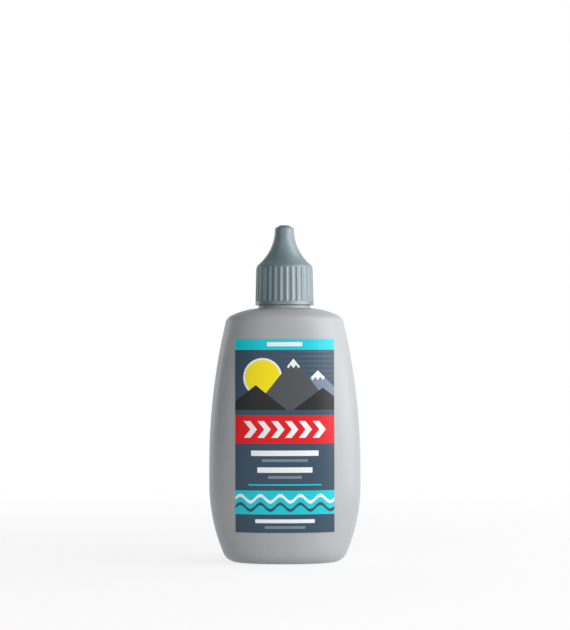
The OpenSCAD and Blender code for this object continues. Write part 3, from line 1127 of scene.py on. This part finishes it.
@dataclass
class Print:
    """The label's print: areas of ink laid over each other. Places are from the label's lower left corner."""

    shader: Shader
    u: Wire
    v: Wire
    paint: object
    softness: float = 0.07

    def area(self, distance: Wire) -> Wire:
        """Returns 1 where a distance is below nothing and 0 above, with the print's soft edge between."""
        return (0.5 - distance / self.softness).held()

    def box(self, left: float, low: float, right: float, high: float, corner: float = 0.0) -> Wire:
        """Distance to a rectangle, below nothing inside it.

        The greater of the distances past its sides; with a rounded corner, the length of the part of both
        distances that lies past the inner rectangle, less the corner's radius.

        Args:
            left: Left side.
            low: Lower side.
            right: Right side.
            high: Upper side.
            corner: Radius of the corners.

        Returns:
            The distance.
        """
        across = abs(self.u - (left + right) / 2) - ((right - left) / 2 - corner)
        up = abs(self.v - (low + high) / 2) - ((high - low) / 2 - corner)
        if corner == 0.0:
            return across.most(up)
        beyond_across, beyond_up = across.most(0.0), up.most(0.0)
        return (beyond_across * beyond_across + beyond_up * beyond_up).root() - corner

    def disc(self, across: "Wire | float", up: "Wire | float", radius: float) -> Wire:
        """Distance to a disc round a point: the distance from its middle less its radius."""
        du, dv = self.u - across, self.v - up
        return (du * du + dv * dv).root() - radius

    def lay(self, mask: Wire, ink: Ink) -> None:
        """Lays an ink over the print where the mask is 1."""
        self.paint = self.shader.blend(mask, self.paint, ink.linear())

    def fill(self, distance: Wire, ink: Ink) -> None:
        """Lays an ink inside a shape."""
        self.lay(self.area(distance), ink)

    def line(self, distance: Wire, width: float, ink: Ink) -> None:
        """Lays a line of the given width along a shape's edge."""
        self.lay(self.area(abs(distance) - width / 2), ink)


@dataclass(frozen=True)
class PrintedFilm:
    """Varnished film of the label, printed with a simple landscape, plain bands, waves and bars."""

    width: float
    height: float
    bleed: float = 1.0
    roughness: float = 0.36
    gloss: float = 0.34
    name: str = "printed_film"

    def build(self) -> bpy.types.Material:
        """Returns the material."""
        shader = Shader(self.name)
        place = shader.node("UVMap", {"uv_map": "print"}).outputs[0]
        split = shader.node("SeparateXYZ", inputs={0: place})
        u = Wire(shader, split.outputs[0]) * self.width
        v = Wire(shader, split.outputs[1]) * self.height
        art = Print(shader, u, v, Ink.SLATE.linear())
        self.ground(art)
        self.sun(art)
        self.hills(art)
        self.red_band(art)
        self.teal_bands(art)
        self.bars(art)
        shader.set(Base_Color=art.paint)
        weave = shader.noise((5.0, 5.0, 5.0), detail=1.0, seed=4.0)
        ripple = shader.noise((0.12, 0.12, 0.08), detail=1.0, seed=6.0)
        shader.set(Roughness=(weave - 0.5) * 0.06 + self.roughness)
        shader.set(Normal=shader.bump(weave * 0.15 + ripple * 1.2, 0.03))
        shader.set(IOR=1.5, Specular_IOR_Level=self.gloss)
        return shader.material

    def across(self, art: Print, low: float, high: float) -> Wire:
        """Distance to a level band that runs past both sides of the film."""
        return art.box(-self.bleed, low, self.width + self.bleed, high)

    def ground(self, art: Print) -> None:
        """Lays faint level stripes on the slate ground, stronger towards the upper right; the rise towards
        the right is a painted sheen.
        """
        stripe = (art.v * (2 * math.pi / 1.8)).math("SINE") * 0.5 + 0.5
        upwards = ((art.v - 44.0) / 26.0).held()
        # The ramp towards the right is painted sheen: it lightens the printed stripes where the lamps at the
        # right would gloss the film.
        painted_sheen_ramp = ((art.u - 14.0) / 14.0).held()
        art.lay(stripe * upwards * painted_sheen_ramp * 0.22, Ink.SLATE_PALE)

    def sun(self, art: Print) -> None:
        """Lays a low yellow sun with a white rim at the left of the landscape."""
        rim = art.disc(10.2, 57.4, 7.2)
        art.fill(rim, Ink.WHITE)
        art.fill(rim + 0.7, Ink.YELLOW)

    def hills(self, art: Print) -> None:
        """Lays hills as triangles, the nearer ones darker, with toothed white caps on the tall ones.

        A hill is where the height over its peak and the slope times the distance to its side add up to less
        than nothing, and its cap is the part of it above a line of teeth.
        """
        peaks = (
            (30.6, 60.0, 1.0, Ink.SLATE_PALE, True),
            (21.6, 64.4, 1.25, Ink.GRAPHITE, True),
            (7.6, 54.6, 0.8, Ink.BLACK, False),
            (32.4, 53.6, 0.75, Ink.BLACK, False),
        )
        zone = art.area(self.across(art, 45.4, 66.0))
        cap_depth, tooth_width, tooth_depth = 3.6, 1.9, 1.3
        for across, top, slope, ink, capped in peaks:
            hill = (art.v - top + abs(art.u - across) * slope) * 0.7
            art.lay(zone * art.area(hill), ink)
            if capped:
                tooth = (art.u - across) / tooth_width
                notch = abs(tooth - tooth.math("ROUND")) * (2 * tooth_depth)
                art.lay(zone * art.area(hill.most((top - cap_depth) - art.v + notch)), Ink.WHITE)

    def red_band(self, art: Print) -> None:
        """Lays the level red band with a centred run of white chevrons that point to the right."""
        low, high, margin = 33.0, 43.4, 2.1
        count, pitch, stroke, slope = 6, 5.1, 2.4, 0.8
        art.fill(self.across(art, low, high), Ink.RED)
        middle = (low + high) / 2
        reach = (middle - low - margin) * slope
        length = (count - 1) * pitch + reach + stroke
        left = (self.width - length) / 2
        first_tip = left + stroke / 2 + reach
        run = art.box(left, low + margin, left + length, high - margin)
        place = (art.u + abs(art.v - middle) * slope - first_tip) / pitch + 0.5
        chevron = abs(place - place.math("FLOOR") - 0.5) * pitch - stroke / 2
        art.fill(run.most(chevron), Ink.WHITE)

    def teal_bands(self, art: Print) -> None:
        """Lays a narrow teal band along the top, and a broad one low down with two waves on it."""
        art.fill(self.across(art, 67.6, self.height + self.bleed), Ink.TEAL)
        art.fill(self.across(art, 6.8, 15.6), Ink.TEAL)
        swell = (art.u * (2 * math.pi / 7.4)).math("SINE") * 1.2
        for middle, ink in ((12.6, Ink.WHITE), (9.5, Ink.SLATE)):
            art.line(art.v - swell - middle, 1.2, ink)

    def bars(self, art: Print) -> None:
        """Lays plain centred bars and a thin teal rule on the slate, and one bar on the top band."""
        bars = (
            (69.7, 13.0, 1.5, Ink.WHITE),
            (29.4, 25.0, 2.0, Ink.WHITE),
            (26.7, 17.0, 1.0, Ink.SLATE_PALE),
            (23.2, 20.4, 2.0, Ink.WHITE),
            (20.5, 12.6, 1.0, Ink.SLATE_PALE),
            (17.7, 27.0, 0.5, Ink.TEAL),
            (4.3, 22.0, 1.4, Ink.WHITE),
            (2.0, 15.0, 1.0, Ink.SLATE_PALE),
        )
        middle = self.width / 2
        for up, length, thickness, ink in bars:
            left, right = middle - length / 2, middle + length / 2
            art.fill(art.box(left, up - thickness / 2, right, up + thickness / 2, 0.2), ink)


@dataclass(frozen=True)
class Lamp:
    """A soft rectangular lamp that faces the bottle, with angles in degrees, lengths in metres and watts.

    Its bearing runs round from the camera's side towards +X, and its rise is above the level of its aim.
    """

    name: str
    bearing_angle: float
    rise: float
    distance: float
    size: tuple[float, float]
    power: float

    def hang(self, aim_height: float) -> None:
        """Adds the lamp, facing a point of the bottle's axis at the given height in metres."""
        data = bpy.data.lights.new(self.name, "AREA")
        data.shape = "RECTANGLE"
        data.size, data.size_y = self.size
        data.energy = self.power
        lamp = bpy.data.objects.new(self.name, data)
        turn, lift = math.radians(self.bearing_angle), math.radians(self.rise)
        lamp.location = (
            self.distance * math.sin(turn) * math.cos(lift),
            -self.distance * math.cos(turn) * math.cos(lift),
            self.distance * math.sin(lift) + aim_height,
        )
        lamp.rotation_euler = (math.pi / 2 - lift, 0, turn)
        bpy.context.scene.collection.objects.link(lamp)


@dataclass(frozen=True)
class Card:
    """A grey card out of the camera's sight, which keeps light off and is seen dark in the gloss.

    Its corners are in metres, and its shade is the share of light that it gives back.
    """

    name: str
    corners: tuple[tuple[float, float, float], ...]
    shade: float

    def hang(self) -> bpy.types.Object:
        """Adds the card and returns its object."""
        mesh = bpy.data.meshes.new(self.name)
        mesh.from_pydata(self.corners, [], [(0, 1, 2, 3)])
        card = bpy.data.objects.new(self.name, mesh)
        card.visible_camera = False
        bpy.context.scene.collection.objects.link(card)
        shader = Shader(self.name)
        grey = (self.shade, self.shade, self.shade, 1.0)
        shader.set(Base_Color=grey, Roughness=0.9, Specular_IOR_Level=0.0)
        mesh.materials.append(shader.material)
        return card


LAMPS = (
    Lamp("key", 70, 2, 0.8, (1.1, 0.2), 3.3),
    Lamp("upper", 58, 26, 1.0, (1.2, 0.34), 3.3),
    Lamp("high", 92, 42, 1.0, (0.8, 0.36), 1.9),
    Lamp("far", 122, 18, 0.9, (0.45, 0.3), 0.6),
    Lamp("rim", -125, 5, 1.0, (0.4, 0.4), 0.8),
)
SIDE_CORNERS = ((-0.34, -0.42, 0.001), (-0.34, 0.2, 0.001), (-0.34, 0.2, 0.62), (-0.34, -0.42, 0.62))
ROOF_CORNERS = ((-0.8, -0.35, 0.62), (-0.8, 1.3, 0.62), (0.12, 1.3, 0.62), (0.12, -0.35, 0.62))
CARDS = (
    Card("side_card", SIDE_CORNERS, 0.21),
    Card("roof_card", ROOF_CORNERS, 0.4),
)


@dataclass
class Studio:
    """Camera, lamps, cards, pale floor and white surroundings."""

    camera_distance: float = 790.0
    camera_height: float = 81.5
    camera_aside: float = 0.15
    camera_roll: float = 0.14
    lens: float = 119.6
    photo_width: int = 570
    photo_height: int = 630
    horizon_row: float = 345.0
    fill_light: float = 0.68
    floor_half: float = 30.0
    floor_shade: float = 0.9
    fade_start: float = 60.0
    fade_end: float = 420.0
    near_glow: float = 0.8

    def camera(self) -> None:
        """Sets up the level camera. The vertical shift puts the horizon on the photograph's row."""
        data = bpy.data.cameras.new("camera")
        data.lens = self.lens
        rows_up = self.horizon_row - self.photo_height / 2
        data.shift_y = rows_up / max(self.photo_width, self.photo_height)
        data.clip_start = 10 * MM
        data.clip_end = 100
        camera = bpy.data.objects.new("camera", data)
        camera.location = (self.camera_aside * MM, -self.camera_distance * MM, self.camera_height * MM)
        camera.rotation_euler = (math.pi / 2, math.radians(self.camera_roll), 0)
        bpy.context.scene.collection.objects.link(camera)
        bpy.context.scene.camera = camera

    def surroundings(self) -> None:
        """Makes the world white where it is seen directly, in gloss or through glass, and dim as a light."""
        world = bpy.data.worlds.new("studio")
        bpy.context.scene.world = world
        nodes = Nodes(world)
        white = (1.0, 1.0, 1.0, 1.0)
        lighting = nodes.node("Background", inputs={"Color": white, "Strength": self.fill_light})
        backdrop = nodes.node("Background", inputs={"Color": white, "Strength": 1.0})
        mix = nodes.mixed(nodes.seen(), lighting.outputs[0], backdrop.outputs[0])
        nodes.node("OutputWorld", inputs={"Surface": mix})

    def floor(self) -> bpy.types.Object:
        """Lays a wide pale floor that shows white to the camera and still takes a faint shadow.

        Returns:
            The floor's object.
        """
        half = self.floor_half
        corners = [(-half, -half, 0), (half, -half, 0), (half, half, 0), (-half, half, 0)]
        mesh = bpy.data.meshes.new("floor")
        mesh.from_pydata(corners, [], [(0, 1, 2, 3)])
        floor = bpy.data.objects.new("floor", mesh)
        bpy.context.scene.collection.objects.link(floor)
        shader = Shader("floor")
        grey = (self.floor_shade, self.floor_shade, self.floor_shade, 1.0)
        shader.set(Base_Color=grey, Roughness=0.9, Specular_IOR_Level=0.0)
        x, y, _ = shader.object_axes()
        away = (x * x + y * y).root()
        span = {0: away, 1: self.fade_start, 2: self.fade_end, 3: self.near_glow, 4: 1.0}
        fade = shader.node("MapRange", {"interpolation_type": "SMOOTHSTEP"}, span)
        share = shader.seen() * Wire(shader, fade.outputs[0])
        glow = shader.node("Emission", inputs={"Color": (1.0, 1.0, 1.0, 1.0), "Strength": 1.0})
        mix = shader.mixed(share, shader.surface.outputs["BSDF"], glow.outputs[0])
        shader.feed(shader.output.inputs["Surface"], mix)
        mesh.materials.append(shader.material)
        return floor

    def build(self) -> None:
        """Sets up the whole studio."""
        self.camera()
        self.surroundings()
        for lamp in LAMPS:
            lamp.hang(self.camera_height * MM)
        self.floor()
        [card.hang() for card in CARDS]


def dress(piece: bpy.types.Object, material: bpy.types.Material, body: Body, slot: Slot, *nodes: str) -> None:
    """Gives a piece its material, sets it riding on a body and lets it stand for its nodes.

    Args:
        piece: The new piece.
        material: Its material.
        body: Body that carries it.
        slot: Record slot of its finish; not used.
        nodes: Names of the nodes that it replaces.
    """
    piece.data.materials.append(material)
    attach(piece, body.value)
    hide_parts(*nodes)
    LOG.info("%s: %d faces on %s", piece.name, len(piece.data.polygons), body.value)


def sides(node: str) -> tuple[np.ndarray, np.ndarray]:
    """Returns a node's lowest and highest corners in millimetres."""
    low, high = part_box(node)
    return np.array(low) / MM, np.array(high) / MM


def main() -> None:
    """Builds the bottle, nozzle, cap and label round the frame, and the studio."""
    logging.basicConfig(level=logging.INFO, format="%(name)s: %(message)s")
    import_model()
    bottle_low, bottle_high = sides("bottle")
    cap_low, cap_high = sides("screw_cap")
    nozzle_low, nozzle_high = sides("nozzle_insert")
    label_low, label_high = sides("front_label")

    bottle = BottleShape(
        width=float(bottle_high[0] - bottle_low[0]),
        depth=float(bottle_high[1] - bottle_low[1]),
        rim_height=float(bottle_high[2]),
    )
    nozzle = NozzleShape(
        flange_radius=float(nozzle_high[0]),
        bottom=float(nozzle_low[2]),
        top=float(nozzle_high[2]),
        rim_height=bottle.rim_height,
    )
    cap = CapShape(
        bottom=float(cap_low[2]),
        top=float(cap_high[2]),
        radius=float(cap_high[0]),
        flange_top=bottle.rim_height + nozzle.flange_thickness,
        flange_radius=nozzle.flange_radius,
        spout_top=nozzle.top,
        thread_start=bottle.thread.start - 0.5 * bottle.thread.pitch,
    )
    label = LabelShape(
        bottle=bottle,
        width=float(label_high[0] - label_low[0]),
        low=float(label_low[2]),
        high=float(label_high[2]),
    )
    film = PrintedFilm(width=label.width, height=label.high - label.low)
    dress(bottle.build(), SilverPolyethylene().build(), Body.BOTTLE, Slot.BOTTLE, "bottle")
    dress(nozzle.build(), NaturalPolyethylene().build(), Body.BOTTLE, Slot.NOZZLE, "nozzle_insert")
    dress(cap.build(), GreyPolypropylene().build(), Body.CAP, Slot.CAP, "screw_cap")
    dress(label.build(), film.build(), Body.BOTTLE, Slot.LABEL, "front_label")

    Studio().build()
    bpy.context.scene.view_settings.view_transform = "Standard"


if __name__ == "__main__":
    main()
